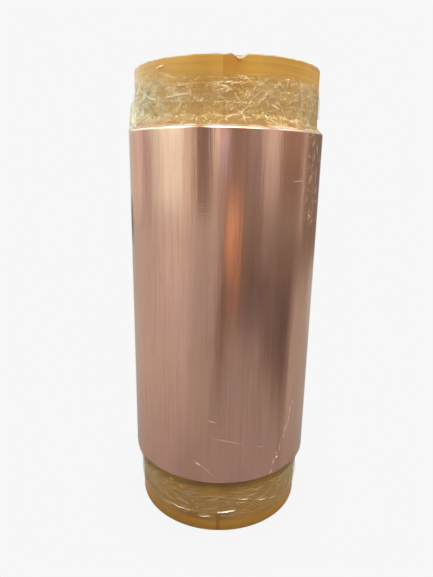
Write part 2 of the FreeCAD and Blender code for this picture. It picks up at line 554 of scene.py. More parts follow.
def ripple(
    seed: int,
    turn: np.ndarray,
    height: np.ndarray,
    waves: tuple[int, int],
    length: tuple[float, float],
    count: int,
) -> np.ndarray:
    """Soft random waves that meet round the roll, from about -1 to 1.

    Args:
        seed: For the random draws.
        turn: Turn angles in degrees.
        height: Heights in millimetres.
        waves: The fewest and most waves round the roll.
        length: The shortest and longest wave up the roll, in millimetres. LAYER_WAVES will do
            where the height is the same all round.
        count: How many waves are added.
    """
    rng = np.random.default_rng(seed)
    total = np.zeros(np.broadcast(turn, height).shape)
    for _ in range(count):
        around = rng.integers(waves[0], waves[1] + 1)
        up = rng.choice((-1.0, 1.0)) * math.tau / rng.uniform(*length)
        total += np.cos(around * np.radians(turn) + up * height + rng.uniform(0, math.tau))
    return total / math.sqrt(count)


def finish_piece(
    piece: bpy.types.Object, material: bpy.types.Material, nodes: Sequence[str]
) -> bpy.types.Object:
    """Dresses a piece, attaches it to the body it rides on, and hides the CAD nodes it stands for."""
    piece.data.materials.append(material)
    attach(piece, BODY)
    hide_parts(*nodes)
    log.info("%s: %d faces", piece.name, len(piece.data.polygons))
    return piece


def dress_node(node: str, material: bpy.types.Material) -> None:
    """Gives a CAD node that stays a better material."""
    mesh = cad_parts[node].data
    mesh.materials.clear()
    mesh.materials.append(material)
    log.info("%s: kept, with %s", node, material.name)


# ---------------------------------------------------------------- core


@dataclass
class CoreTube:
    """The board tube that the foil is wound on."""

    length: float = 270.0
    bore_radius: float = 38.1
    liner_radius: float = 38.7
    board_radius: float = 52.3
    face_radius: float = 53.1
    ply: float = 0.75
    chip_turn: float = 6.2
    chip_left: float = 3.8
    chip_right: float = 4.2
    chip_height: float = 2.3
    chip_depth: float = 2.6
    seam_gap: float = 0.16
    rim_tilt: float = 0.85
    varnish: AmberVarnish = field(default_factory=AmberVarnish)
    board: CoreBoard = field(default_factory=CoreBoard)
    kraft: KraftLiner = field(default_factory=KraftLiner)

    def build(self) -> None:
        """Builds the three plies."""
        self.face_ply()
        self.board_plies()
        self.liner_ply()

    def columns(self) -> np.ndarray:
        """Turn angles of the columns, closer together at the chip."""
        coarse = np.arange(0.0, FULL_TURN, 1.0) - HALF_TURN
        fine = np.arange(-8.0, 8.0, 0.2) + self.chip_turn
        return np.unique(np.round(np.concatenate([coarse, fine]), 3))

    def rim(self, turn: np.ndarray) -> np.ndarray:
        """Height of the upper rim: cut a little out of square, and slightly rough."""
        lean = self.rim_tilt * np.sin(np.radians(turn))
        return self.length + lean + 0.10 * ripple(3, turn, 0.0, (5, 60), LAYER_WAVES, 14)

    def chip(self, turn: np.ndarray) -> np.ndarray:
        """Depth below the rim that the chip goes down to at each turn angle."""
        along = np.radians(turn - self.chip_turn) * self.face_radius
        left = 1.0 + along / self.chip_left
        right = 1.0 - along / self.chip_right
        depth = np.clip(np.minimum(left, right), 0.0, 1.0) ** 0.75
        ragged = 1.0 + 0.10 * np.sin(along * 5.1) + 0.07 * np.sin(along * 11.3 + 1.0)
        return self.chip_height * depth * ragged

    def face_ply(self) -> None:
        """The varnished outer ply, with its leaning butt seam at the front and the chip in its rim."""
        seam = self.varnish.seam_turn
        turns = self.columns()
        turns = np.concatenate(
            [[seam], turns[turns > seam + 0.5], turns[turns < seam - 0.5] + FULL_TURN, [seam + FULL_TURN]]
        )
        wrapped = turned_from(turns, 0.0)
        chip = self.chip(wrapped)
        top = self.rim(wrapped) - chip
        low, high = 0.35, 0.45
        edge = np.concatenate([np.linspace(0.0, 0.985, 60), np.linspace(0.9862, 1.0, 18)])[:, None]
        heights = low + edge * (top - high - low)
        opened = math.degrees(self.seam_gap / self.face_radius) * (1.0 - heights / self.length)
        side = (turns == seam) * 0.5 - (turns == seam + FULL_TURN) * 0.5
        leaned = turns + self.varnish.seam_lean * (1.0 - heights / self.length) + opened * side
        swell = 0.05 * ripple(5, wrapped, heights, (2, 9), (60, 240), 10)
        outer = on_cylinder(self.face_radius + swell * np.sin(edge * math.pi), leaned, heights)
        corner = [
            on_cylinder(self.face_radius - 0.12, turns, top - 0.12),
            on_cylinder(self.face_radius - 0.35, turns, top),
            on_cylinder(self.board_radius, turns, top),
        ]
        foot = [
            on_cylinder(self.board_radius, leaned[0], 0.0 * turns),
            on_cylinder(self.face_radius - 0.3, leaned[0], 0.0 * turns),
            on_cylinder(self.face_radius - 0.08, leaned[0], 0.1 + 0.0 * turns),
        ]
        points = np.concatenate([foot, outer, corner])
        along = np.radians(wrapped - self.chip_turn) * self.face_radius
        # A dark band just below the chip's edge on its left flank: the torn ply edge, and painted shadow
        # under it.
        left_flank = (chip > 0.15) & (along < 0.9)
        thick = 0.3 + 1.1 * np.clip(1.0 + along / self.chip_left, 0.0, 1.0)
        torn_edge_and_shadow = np.zeros(points.shape[:2])
        torn_edge_and_shadow[3:-3] = left_flank * eased(1.5 * (1.0 - (top - heights - high) / thick))
        torn_edge_and_shadow[-3:] = left_flank
        worn = np.zeros(points.shape[:2])
        worn[3:-3] = eased(1.0 - (top - heights - high) / 0.35)
        worn[-3:] = 1.0
        marks = {"torn_edge_and_shadow": torn_edge_and_shadow, "worn": worn * (1.0 - torn_edge_and_shadow)}
        piece = make_mesh("core_amber_face", Swept(points, Ends.SOLID_STRIP, marks))
        finish_piece(piece, self.varnish.material(), ["core_face_ply"])

    def board_plies(self) -> None:
        """The thick middle of the tube: ply rings on both ends, torn steps inside the chip."""
        turns = self.columns()
        rim, chip = self.rim(turns), self.chip(turns)
        count = round((self.board_radius - self.liner_radius) / self.ply) * 2
        radii = np.linspace(self.liner_radius, self.board_radius, count + 1)
        rng = np.random.default_rng(11)
        rough = rng.normal(0.0, 0.06, (len(radii), 1)) - 0.10 * (np.arange(len(radii)) % 2)[:, None]
        inward = (self.board_radius - radii)[:, None]
        share = np.clip(1.15 - inward / self.chip_depth, 0.0, 1.0)
        steps = np.floor(share * 4.0 + 0.6) / 4.0
        torn = (steps * 0.7 + share * 0.3) * chip[None, :]
        top = rim[None, :] + rough - torn
        torn_mark = np.clip(torn / 0.6, 0.0, 1.0)
        ends_up = on_cylinder(radii[:, None], turns[None, :], top)
        foot = on_cylinder(radii[::-1, None], turns[None, :], np.abs(rough) * 0.6)
        wall = np.linspace(self.length - 6.0, 6.0, 12)[:, None]
        outer = on_cylinder(self.board_radius, turns[None, :], wall + 0.0 * turns[None, :])
        inner = on_cylinder(self.liner_radius, turns[None, :], wall[::-1] + 0.0 * turns[None, :])
        points = np.concatenate([ends_up, outer, foot, inner])
        mark = np.zeros(points.shape[:2])
        mark[: len(radii)] = torn_mark
        mark[len(radii)] = torn_mark[-1]
        piece = make_mesh("core_board_tube", Swept(points, Ends.SOLID_LOOP, {"torn": mark}))
        finish_piece(piece, self.board.material(), ["core_board_plies"])

    def liner_ply(self) -> None:
        """The smooth inner ply of the bore, with worn, slightly lifted rims."""
        turns = self.columns()[None, :]
        rim = self.rim(turns) + 0.05
        walls = np.linspace(1.0, self.length - 1.0, 60)[:, None]
        swell = 0.06 * ripple(17, turns, walls, (2, 12), (40, 200), 10)
        inner = on_cylinder(self.bore_radius + 0.02 + np.abs(swell), turns, walls)
        rims = [
            on_cylinder(self.bore_radius + 0.12, turns, rim - 0.15)[0],
            on_cylinder(self.bore_radius + 0.3, turns, rim)[0],
            on_cylinder(self.liner_radius, turns, rim)[0],
        ]
        feet = [
            on_cylinder(self.liner_radius, turns, 0.0 * turns)[0],
            on_cylinder(self.bore_radius + 0.3, turns, 0.0 * turns)[0],
            on_cylinder(self.bore_radius + 0.1, turns, 0.15 + 0.0 * turns)[0],
        ]
        points = np.concatenate([feet, inner, rims])[::-1]
        piece = make_mesh("core_bore_liner", Swept(points, Ends.SOLID_LOOP))
        finish_piece(piece, self.kraft.material(), ["core_liner_ply"])


# ---------------------------------------------------------------- winding


@dataclass
class FoilWinding:
    """The copper foil and its release paper, wound on the core."""

    low: float = 37.0
    high: float = 237.0
    core_radius: float = 53.1
    turns_radius: float = 56.7
    liner_radius: float = 56.85
    foil_radius: float = 57.0
    strip: float = 0.15
    tail_turn: float = 208.0
    tail_gap: float = 0.5
    copper: CopperFoil = field(default_factory=CopperFoil)
    edges: FoilEdges = field(default_factory=FoilEdges)

    def build(self) -> None:
        """Builds the last turn and the turns under it, and dresses the tapes and the paper."""
        self.last_turn()
        self.inner_turns()
        paper = ThinPaper("release_paper", (0.80, 0.76, 0.66), (0.66, 0.60, 0.48), 0.55)
        white = ThinPaper("starter_tape", (0.82, 0.80, 0.74), (0.70, 0.66, 0.58), 0.6)
        clear = ThinPaper("clear_tape", (0.86, 0.84, 0.78), (0.74, 0.70, 0.60), 0.22, 0.34)
        dress_node("liner_last_turn", paper.material())
        dress_node("starter_tape", white.material())
        dress_node("tail_tapes", clear.material())

    def last_turn(self) -> None:
        """The turn of foil that shows: taut, with a faint swell where turns below are uneven."""
        half_gap = math.degrees(self.tail_gap / 2 / self.foil_radius)
        turns = np.linspace(self.tail_turn - FULL_TURN + half_gap, self.tail_turn - half_gap, 541)[None, :]
        width = self.high - self.low
        body, rim = np.linspace(1.0, width - 1.2, 110), np.linspace(width - 1.0, width, 6)
        heights = self.low + np.concatenate([[0.0, 0.25], body, rim])[:, None]
        swell = 0.035 * ripple(23, turns, heights, (2, 7), (90, 400), 12)
        swell += 0.008 * ripple(29, turns, heights, (9, 26), (120, 500), 16)
        curl = 0.24 * np.clip(heights - self.high + 1.1, 0.0, None) ** 2 / 1.2
        skin = self.foil_radius - 0.03 + np.clip(swell, -0.05, 0.05) - curl
        outer = on_cylinder(skin, turns, heights)
        inner = on_cylinder(skin - 0.06, turns, heights)[::-1]
        points = np.concatenate([outer, inner])
        piece = make_mesh("copper_last_turn", Swept(points, Ends.SOLID_STRIP))
        finish_piece(piece, self.copper.material(), ["foil_last_turn"])

    def inner_turns(self) -> None:
        """The turns below: plain on the side, with uneven edges that stand in rings on both ends."""
        turns = np.arange(0.0, FULL_TURN, 1.0)[None, :]
        count = round((self.turns_radius - self.core_radius) / self.strip)
        radii = np.repeat(np.linspace(self.core_radius, self.turns_radius, count + 1), 2)[1:-1]
        rng = np.random.default_rng(31)
        drift = np.repeat(rng.normal(0.0, 0.10, count), 2)[:, None]
        wander = 0.06 * ripple(37, turns, radii[:, None] * 40.0, (1, 4), (30, 60), 8)
        top = self.high - 0.25 + np.clip(drift + wander, -0.3, 0.25)
        foot = self.low + 0.25 + np.clip(drift[::-1] + wander, -0.25, 0.3)
        ends_up = on_cylinder(radii[:, None], turns, top)
        foot = on_cylinder(radii[::-1, None], turns, foot[::-1])
        points = np.concatenate([ends_up, foot])
        piece = make_mesh("foil_turns_below", Swept(points, Ends.SOLID_LOOP))
        finish_piece(piece, self.edges.material(), ["foil_inner_turns"])


# ---------------------------------------------------------------- film


@dataclass(frozen=True)
class Zone:
    """Random folds in one part of the film.

    The arc is in turn angles, leans are degrees up from level, to be taken give or take the
    spread, and the ranges of heights, half lengths, widths and rise are in millimetres. Milk is
    how white the folds are.
    """

    seed: int
    count: int
    arc: tuple[float, float]
    heights: tuple[float, float]
    leans: tuple[float, ...]
    spread: float
    halves: tuple[float, float]
    widths: tuple[float, float]
    milk: tuple[float, float]
    rise: tuple[float, float] = (0.0, 0.0)


ALL_ROUND = (-HALF_TURN, HALF_TURN)
CROSSED = (42.0, -42.0, 58.0, -60.0, 25.0, 8.0)
FLECKED = (70.0, -70.0, 30.0, -20.0)
NEARLY_LEVEL = (3.0, -4.0, 7.0, -8.0, 30.0)
FINE = (0.35, 0.6)
SOFT = (0.7, 1.5)
INNER_CREASES = (
    Zone(
        101, 120, ALL_ROUND, (239.0, 258.0), (38.0, -38.0, 60.0), 14.0, (3, 9),
        (0.7, 1.2), (0.0, 0.06), (0.1, 0.3)
    ),
    Zone(
        103, 90, ALL_ROUND, (12.0, 32.0), (4.0, -6.0, 20.0), 9.0, (5, 14),
        (0.7, 1.2), (0.0, 0.06), (0.1, 0.25)
    ),
)
OUTER_CREASES = (
    Zone(
        211, 300, ALL_ROUND, (238.0, 259.0), (38.0, -40.0, 55.0, -52.0, 20.0), 12.0, (1.8, 6.0),
        (0.5, 0.9), (0.0, 0.08), (0.10, 0.35)
    ),
    Zone(
        223, 200, ALL_ROUND, (10.0, 32.0), (3.0, -4.0, 12.0, -24.0, 30.0), 9.0, (2.0, 9.0),
        (0.5, 0.9), (0.0, 0.06), (0.1, 0.3)
    ),
    Zone(
        227, 34, (75.0, 280.0), (45.0, 225.0), (50.0, -35.0, 8.0), 16.0, (6.0, 24.0),
        (0.5, 0.9), (0.02, 0.08), (0.05, 0.12)
    ),
)
SMALL_FOLDS = (
    Zone(301, 420, (-5.0, 95.0), (240.0, 260.0), CROSSED, 11.0, (0.7, 5.0), FINE, (0.12, 0.95)),
    Zone(302, 190, (2.0, 95.0), (241.0, 260.0), CROSSED, 10.0, (1.5, 6.5), SOFT, (0.08, 0.42)),
    Zone(303, 330, (-95.0, -5.0), (238.0, 257.0), CROSSED, 14.0, (0.4, 2.6), FINE, (0.15, 1.0)),
    Zone(304, 110, (-80.0, -2.0), (239.0, 257.0), CROSSED, 14.0, (1.0, 4.0), SOFT, (0.05, 0.26)),
    Zone(307, 560, (95.0, 265.0), (237.5, 259.5), CROSSED, 12.0, (0.6, 5.0), FINE, (0.10, 0.75)),
    Zone(308, 200, (95.0, 265.0), (238.5, 259.0), CROSSED, 12.0, (1.5, 6.5), SOFT, (0.06, 0.30)),
    Zone(309, 230, ALL_ROUND, (238.5, 246.0), FLECKED, 20.0, (0.4, 1.6), FINE, (0.08, 0.40)),
    Zone(311, 300, (-95.0, 95.0), (10.5, 33.0), NEARLY_LEVEL, 6.0, (0.8, 8.0), FINE, (0.12, 1.05)),
    Zone(312, 150, (-95.0, 95.0), (10.0, 33.0), NEARLY_LEVEL, 6.0, (2.5, 11.0), SOFT, (0.05, 0.30)),
    Zone(313, 110, (25.0, 80.0), (14.0, 34.0), (48.0, 60.0), 9.0, (1.0, 5.0), FINE, (0.10, 0.8)),
    Zone(317, 420, (95.0, 265.0), (10.5, 34.0), NEARLY_LEVEL, 9.0, (0.7, 7.0), FINE, (0.10, 0.75)),
)
# Sparks: short white folds on the core's head, whose milk is partly a painted glint.
SPARKS = Zone(419, 26, (-60.0, 55.0), (239.0, 259.0), (0.0, 60.0), 20.0, (0.5, 1.2), (0.7, 1.0), (0.8, 1.0))
SIDE_WRINKLES = Zone(
    401, 70, (50.0, 68.0), (188.0, 236.0), (64.0, -58.0, 80.0), 14.0, (0.8, 4.0), (0.4, 0.8), (0.15, 0.9)
)


@dataclass(frozen=True)
class Crease:
    """A fold line in the film.

    Its place is a turn angle and a height, lean is degrees up from level, and the rest is in
    millimetres: half its length, how far it stands out, how wide its flanks are, and its bend
    over the half length. Milk is how white it looks.
    """

    turn: float
    height: float
    lean: float
    half: float
    rise: float
    width: float
    bend: float = 0.0
    milk: float = 0.4


@dataclass
class Creases:
    """A set of fold lines on one layer of film."""

    radius: float
    lines: list[Crease] = field(default_factory=list)

    def scatter(self, zone: Zone) -> None:
        """Adds the random fold lines of a zone."""
        rng = np.random.default_rng(zone.seed)
        for _ in range(zone.count):
            half = rng.uniform(*zone.halves)
            self.lines.append(
                Crease(
                    turn=rng.uniform(*zone.arc),
                    height=rng.uniform(*zone.heights),
                    lean=rng.choice(zone.leans) + rng.normal(0.0, zone.spread),
                    half=half,
                    rise=rng.uniform(*zone.rise),
                    width=rng.uniform(*zone.widths),
                    bend=rng.normal(0.0, 0.06) * half,
                    milk=rng.uniform(*zone.milk) * rng.uniform(0.4, 1.0),
                )
            )

    def pressed(self, turn: np.ndarray, height: np.ndarray) -> tuple[np.ndarray, np.ndarray]:
        """How far the film stands out at each point, in millimetres, and how milky it is."""
        shape = np.broadcast(turn, height).shape
        out, milk = np.zeros(shape), np.zeros(shape)
        around = np.broadcast_to(turn, shape)
        up = np.broadcast_to(height, shape)
        for line in self.lines:
            across = turned_from(around, line.turn)
            reach = math.degrees((line.half + 4.0 * line.width) / self.radius)
            near = (np.abs(across) < reach) & (np.abs(up - line.height) < line.half + 4.0 * line.width)
            x = np.radians(across[near]) * self.radius
            y = up[near] - line.height
            cosine, sine = math.cos(math.radians(line.lean)), math.sin(math.radians(line.lean))
            along = (x * cosine + y * sine) / line.half
            aside = np.abs(y * cosine - x * sine - line.bend * (along * along - 0.3))
            fade = np.clip(1.0 - along * along, 0.0, 1.0) ** 0.8
            out[near] = np.maximum(out[near], line.rise * fade * np.exp(-aside / line.width))
            core = np.exp(-((aside / (0.55 * line.width)) ** 2))
            milk[near] = np.maximum(milk[near], line.milk * fade * core)
        return out, milk


@dataclass(frozen=True)
class Pinch:
    """A thin fold that stands up from the film and shows as a bright line.

    Its line goes through a few points, each a turn angle and a height. Its width and rise are in
    millimetres, and milk is how white it is along its middle.
    """

    line: tuple[tuple[float, float], ...]
    width: float
    rise: float
    milk: float


@dataclass
class Pinches:
    """Pinched folds of one layer of film, each drawn with a number of samples along it."""

    radius: float
    samples: int
    taper: float
    folds: list[Pinch] = field(default_factory=list)

    def scatter(self, zone: Zone) -> None:
        """Adds the random folds of a zone, most of them short and faint."""
        rng = np.random.default_rng(zone.seed)
        per_mm = math.degrees(1.0 / self.radius)
        for _ in range(zone.count):
            turn, height = rng.uniform(*zone.arc), rng.uniform(*zone.heights)
            lean = math.radians(rng.choice(zone.leans) + rng.normal(0.0, zone.spread))
            half = zone.halves[0] + (zone.halves[1] - zone.halves[0]) * rng.uniform() ** 2
            bend = rng.normal(0.0, 0.12) * half
            across, up = half * math.cos(lean), half * math.sin(lean)
            middle = (turn - bend * math.sin(lean) * per_mm, height + bend * math.cos(lean))
            ends = [(turn + side * across * per_mm, height + side * up) for side in (-1, 1)]
            milk = zone.milk[0] + (zone.milk[1] - zone.milk[0]) * rng.uniform() ** 1.5
            self.add((ends[0], middle, ends[1]), rng.uniform(*zone.widths), milk)

    def add(self, line: Sequence[tuple[float, float]], width: float, milk: float) -> None:
        """Adds one fold."""
        rise = (0.10 if milk <= 1.0 else 0.30) * width
        self.folds.append(Pinch(tuple(line), width, rise, milk))

    def swept(
        self,
        surface: Callable[[np.ndarray, np.ndarray], np.ndarray],
        looseness: Callable[[np.ndarray], np.ndarray],
    ) -> Swept:
        """The folds as narrow rounded strips on a surface.

        Args:
            surface: Gives the film's radius at turn angles and heights.
            looseness: Gives how crinkled the film is at heights.
        """
        place = np.linspace(0.0, 1.0, self.samples)
        profile = np.array([0.0, 0.55, 1.0, 0.55, 0.0])[:, None]
        turns, heights, rises, milks = [], [], [], []
        for fold in self.folds:
            knots = np.array(fold.line)
            stops = np.linspace(0.0, 1.0, len(knots))
            power = min(len(knots) - 1, 3)
            turn = np.polyval(np.polyfit(stops, knots[:, 0], power), place)
            height = np.polyval(np.polyfit(stops, knots[:, 1], power), place)
            along = np.gradient(np.radians(turn) * self.radius)
            up = np.gradient(height)
            length = np.hypot(along, up) + 1e-9
            taper = 0.12 + 0.88 * (4.0 * place * (1.0 - place)) ** self.taper
            aside = np.linspace(-0.5, 0.5, len(profile))[:, None] * fold.width * taper
            turns.append(turn - np.degrees(aside * up / length / self.radius))
            heights.append(height + aside * along / length)
            rises.append((profile * fold.rise + 0.01) * taper)
            milks.append(profile * fold.milk * taper)
        turn, height, rise, haze = (np.stack(values, axis=1) for values in (turns, heights, rises, milks))
        points = on_cylinder(surface(turn, height) + rise, turn, height)
        return Swept(points, marks={"haze": haze, "loose": looseness(height), "side_sheen": 0.0 * haze})


# Folds that stand out, each as its width, how white it is, and its turns and heights. The whitest carry
# painted highlights as well as the folds' own milk.
Fold = tuple[float | tuple[float, float], ...]
HEAD_FOLDS: list[Fold] = [
    (1.8, 1.0, (-54, 256), (-49, 252), (-40, 250)),
    (1.3, 0.9, (-37, 250.5), (-27, 251.5), (-17, 252.5)),
    (1.0, 1.0, (-42, 265), (-35, 266)),
    (1.0, 1.0, (-28, 256), (-22, 256)),
    (0.8, 1.0, (-1, 257), (3, 257.5)),
    (0.9, 1.0, (-5, 256), (2, 255)),
    (0.8, 0.8, (-1, 253), (3, 254)),
    (1.0, 0.6, (10, 254), (14, 251), (19, 248)),
    (1.0, 0.7, (12, 249), (16, 252), (21, 256)),
    (1.3, 1.0, (11, 247.5), (13, 249)),
    (0.9, 0.8, (24, 248), (31, 245.5)),
    (1.0, 0.7, (33, 248), (37, 250), (43, 253)),
    (0.9, 0.8, (27, 259), (33, 255)),
    (0.9, 0.8, (35, 261), (33, 255)),
    (1.8, 0.5, (44, 260), (46, 254), (46, 246), (47, 240)),
    (1.0, 0.4, (8, 245), (15, 247)),
]
COPPER_FOLDS: list[Fold] = [
    (0.5, 0.8, (-8, 78), (-2, 77)),
    (0.5, 0.45, (-7, 67), (5, 65), (17, 61)),
    (0.5, 0.6, (22, 59), (28, 58.5)),
    (0.5, 0.5, (-18, 53), (-9, 47), (-1, 40)),
    (0.8, 1.1, (-14, 50), (-11, 48)),
    (1.2, 1.3, (37, 47), (39, 48)),
    (0.5, 0.5, (37, 211), (49, 212)),
]
FOOT_FOLDS: list[Fold] = [
    (0.9, 1.0, (-43, 12), (-36, 12.5), (-29, 13.5)),
    (0.9, 1.1, (-33, 12.5), (-17, 13)),
    (0.9, 1.0, (-30, 19), (-23, 18), (-18, 15.5)),
    (0.8, 0.6, (-20, 13), (-4, 13.5)),
    (1.8, 2.2, (-1, 14), (5, 14), (12, 14.5)),
    (0.9, 1.3, (-13, 10), (-4, 11)),
    (0.9, 1.3, (-34, 31), (-29, 32)),
    (1.0, 1.5, (27, 18.5), (34, 17)),
    (0.9, 1.0, (36, 16), (45, 15)),
    (0.9, 1.5, (13, 22), (20, 21.5)),
]


@dataclass
class FilmWrap:
    """Two layers of stretch film over the winding, and a gathered band of it at each end."""

    foil_low: float = 37.0
    foil_high: float = 237.0
    core_radius: float = 53.1
    foil_radius: float = 57.1
    edge_low: float = 8.0
    edge_high: float = 262.0
    tail_turn: float = 50.0
    columns: int = 720
    finish: bpy.types.Material | None = None

    def build(self) -> None:
        """Builds the layers from the inside out."""
        self.finish = StretchFilm().material()
        self.inner_layer()
        self.outer_layer()
        self.band("film_band_top", "film_top_band", 246.0, 257.0, 71)
        self.band("film_band_bottom", "film_bottom_band", 12.0, 26.0, 73)

    def shoulder_top(self, turn: np.ndarray) -> np.ndarray:
        """How high above the foil the film meets the core: a tall tent on the left, tight on the right."""
        tall = 5.0 + 15.5 * hump(turn, -84.0, 34.0) - 2.6 * hump(turn, 70.0, 40.0)
        return tall + 2.5 * hump(turn, 165.0, 50.0) + 0.9 * ripple(67, turn, 0.0, (9, 34), LAYER_WAVES, 12)

    def tent(self, turn: np.ndarray) -> np.ndarray:
        """How straight the film stands above the foil before it turns in: 0 is a plain cone."""
        return 0.72 * hump(turn, -84.0, 34.0) + 0.2 * hump(turn, 165.0, 40.0)

    def shoulder_foot(self, turn: np.ndarray) -> np.ndarray:
        """How far below the foil the film meets the core."""
        sides = 4.0 * hump(turn, -80.0, 50.0) + 3.5 * hump(turn, 85.0, 45.0)
        return 6.5 + sides + 0.5 * ripple(69, turn, 0.0, (9, 34), LAYER_WAVES, 12)

    def profile(self, turn: np.ndarray, height: np.ndarray, offset: float) -> np.ndarray:
        """Radius of a taut layer: on the foil, in over the shoulders, and on the core."""
        step = self.foil_radius - self.core_radius
        above = (height - self.foil_high) / self.shoulder_top(turn)
        stand = self.tent(turn)
        above = np.clip((above - stand) / (1.0 - stand), -0.2, 1.3)
        below = (self.foil_low - height) / self.shoulder_foot(turn)
        over = height - self.foil_high
        inward = (1.0 * eased(over / 2.5) + 0.09 * np.clip(over, 0.0, 14.0)) * stand
        radius = self.foil_radius - inward - step * (self.taut(above) + self.taut(below))
        return offset + np.maximum(radius, self.core_radius)

    @staticmethod
    def taut(share: np.ndarray) -> np.ndarray:
        """A straight line from 0 to 1 over the shares 0 to 1, with its two corners a little round."""
        corner = 0.09
        ramp = corner * np.logaddexp(0.0, share / corner) - corner * np.logaddexp(0.0, (share - 1.0) / corner)
        return np.clip(ramp - corner * math.log(2.0) * np.exp(-np.clip(share, 0.0, None) * 6.0), 0.0, 1.0)

    def heights(
        self, turn: np.ndarray, low: np.ndarray, high: np.ndarray, fine: int, middle: int
    ) -> np.ndarray:
        """Heights of the rows: close together over the core and the shoulders, wide over the foil."""
        low_knee, high_knee = self.foil_low + 2.0, self.foil_high - 2.0
        foot = low + np.linspace(0.0, 1.0, fine)[:, None] * (low_knee - low)
        body = np.linspace(low_knee, high_knee, middle)[1:-1, None] + 0.0 * turn
        head = high_knee + np.linspace(0.0, 1.0, fine)[:, None] * (high - high_knee)
        return np.concatenate([foot, body, head])

    def painted_shoulder_highlight(self, turn: np.ndarray, height: np.ndarray) -> np.ndarray:
        """Painted highlight: extra milk on the two shoulder lines, where the film is bent over the foil's
        edge and catches the light.
        """
        uneven = 0.75 + 0.25 * ripple(83, turn, 0.0, (6, 40), LAYER_WAVES, 12)
        top = np.exp(-(((height - self.foil_high - 0.45) / 0.62) ** 2))
        foot = np.exp(-(((height - self.foil_low + 0.2) / 0.8) ** 2))
        return (0.40 * top + 0.05 * foot) * uneven

    def on_core(self, height: np.ndarray) -> np.ndarray:
        """One where the film lies over the core, nought over the foil."""
        above, below = height - self.foil_high, self.foil_low - height
        return np.clip(above / 3.0, 0.0, 1.0) + np.clip(below / 3.0, 0.0, 1.0)

    def slack(self, turn: np.ndarray, height: np.ndarray) -> np.ndarray:
        """How freely the film may crease: little on the taut tent on the left and on the right."""
        taut = 0.92 * hump(turn, -84.0, 40.0) + 0.80 * hump(turn, 84.0, 44.0)
        return 1.0 - taut * (height > self.foil_high)

    def painted_side_sheen(self, turn: np.ndarray, height: np.ndarray) -> np.ndarray:
        """Painted sheen: lighter grey-olive milk on the sides of the roll, most on the left of the core's
        head, less on its right and back, and on both sides of its foot.
        """
        above = eased((height - self.foil_high) / 4.0) * (1.0 - eased((height - 255.0) / 9.0))
        clouds = 1.0 + 0.6 * ripple(79, turn, height, (12, 40), (9, 30), 16)
        side = hump(turn, -58.0, 40.0) + 0.35 * hump(turn, 55.0, 30.0) + 0.25 * hump(turn, 160.0, 60.0)
        sides = hump(turn, -76.0, 48.0) + 1.3 * hump(turn, 78.0, 44.0)
        below = sides * eased((height - 15.0) / 12.0) * (height < self.foil_low)
        return (0.36 * side * above + 0.34 * below) * np.clip(clouds, 0.0, 2.0)

    def inner_layer(self) -> None:
        """The first layer: a closed sleeve that clings to the foil, with soft folds on the shoulders."""
        turn = np.linspace(-HALF_TURN, HALF_TURN, 421)[None, :-1]
        high = self.edge_high + 1.2 * hump(turn, -70.0, 60.0)
        high = high + 0.7 * ripple(41, turn, 0.0, (2, 11), LAYER_WAVES, 9)
        low = self.edge_low + 0.6 * ripple(43, turn, 0.0, (2, 11), LAYER_WAVES, 9)
        height = self.heights(turn, low, high, 44, 46)
        lines = Creases(self.core_radius)
        for zone in INNER_CREASES:
            lines.scatter(zone)
        out, milk = lines.pressed(turn, height)
        loose = self.on_core(height)
        swell = 0.16 * loose * (1.0 + ripple(47, turn, height, (8, 30), (8, 30), 14)).clip(0.0, 2.5)
        pressed = np.maximum(out * (0.2 + 0.8 * loose), swell) * self.slack(turn, height)
        radius = self.profile(turn, height, 0.03) + pressed
        # A fifth of the painted shoulder highlight goes into the haze.
        haze = 0.01 * loose + milk + 0.2 * self.painted_shoulder_highlight(turn, height)
        marks = {"haze": haze, "loose": loose, "side_sheen": 0.0 * haze}
        piece = make_mesh("film_inner_layer", Swept(on_cylinder(radius, turn, height), Ends.LOOP, marks))
        finish_piece(piece, self.finish, ["film_inner_wrap"])

    def outer_creases(self) -> Creases:
        """The soft creases of the outer layer."""
        lines = Creases(self.foil_radius)
        for zone in OUTER_CREASES:
            lines.scatter(zone)
        return lines

    def scattered_folds(self) -> Pinches:
        """The many short bright folds of the outer layer, at both ends of the roll."""
        folds = Pinches(self.foil_radius, 7, 0.6)
        for zone in SMALL_FOLDS:
            folds.scatter(zone)
        return folds

    def standing_folds(self) -> Pinches:
        """The folds that stand out, one by one: on the core's head, over the copper, and on its foot."""
        folds = Pinches(self.foil_radius, 15, 0.5)
        for width, milk, *line in HEAD_FOLDS + COPPER_FOLDS + FOOT_FOLDS:
            folds.add(line, width, milk)
        folds.scatter(SPARKS)
        self.slanting_folds(folds)
        folds.scatter(SIDE_WRINKLES)
        return folds

    @staticmethod
    def slanting_folds(folds: Pinches) -> None:
        """A broken line of short folds that runs down to the left from the lap, low on the copper."""
        rng = np.random.default_rng(431)
        for share in np.linspace(0.0, 1.0, 26):
            turn = 50.8 - 17.8 * share**1.3 + rng.normal(0.0, 0.5)
            height = 84.0 - 45.0 * share + rng.normal(0.0, 1.0)
            along = rng.uniform(1.2, 4.0)
            end = (turn - 0.45 * along, height - along)
            folds.add(((turn, height), end), rng.uniform(0.4, 0.9), rng.uniform(0.25, 0.9))

    def outer_radius(self, turn: np.ndarray, height: np.ndarray) -> np.ndarray:
        """Radius of the outer layer without its creases: over the inner layer, a little slack."""
        loose = self.on_core(height)
        swell = 0.20 * loose * (1.0 + ripple(61, turn, height, (8, 34), (7, 26), 14)).clip(0.0, 2.5)
        lap = 0.10 * eased((turn - self.tail_turn + 3.0) / 3.0) * (turn < self.tail_turn + 8.0)
        return self.profile(turn, height, 0.10) + (0.40 * loose + swell) * self.slack(turn, height) + lap

